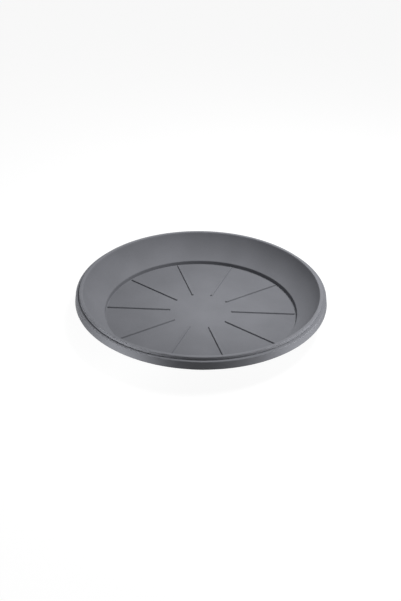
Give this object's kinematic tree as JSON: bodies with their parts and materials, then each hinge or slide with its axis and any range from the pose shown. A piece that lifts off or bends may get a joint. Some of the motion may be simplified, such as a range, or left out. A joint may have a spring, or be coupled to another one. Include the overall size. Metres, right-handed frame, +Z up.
{
  "type": "plant saucer",
  "caption": "Round shallow plant saucer in matte grey plastic: a ribbed recessed floor, a bowl-curved wall and a rim with lip and skirt. It catches water under a pot.",
  "frame": {"origin": "on the ground, under the middle of the floor", "axes": "+Z up along the axis of the dish, +X along rib_01"},
  "size_m": [0.3, 0.3, 0.038],
  "materials": {
    "saucer_plastic": "matte moulded polypropylene with a fine grain and a soft sheen"
  },
  "bodies": {
    "root": {"floor_plate": "saucer_plastic", "foot_ring": "saucer_plastic", "side_wall": "saucer_plastic", "rim_lip": "saucer_plastic", "rim_ledge": "saucer_plastic", "rim_skirt": "saucer_plastic", "rib_01": "saucer_plastic", "rib_02": "saucer_plastic", "rib_03": "saucer_plastic", "rib_04": "saucer_plastic", "rib_05": "saucer_plastic", "rib_06": "saucer_plastic", "rib_07": "saucer_plastic", "rib_08": "saucer_plastic", "rib_09": "saucer_plastic", "rib_10": "saucer_plastic"}
  },
  "joints": []
}
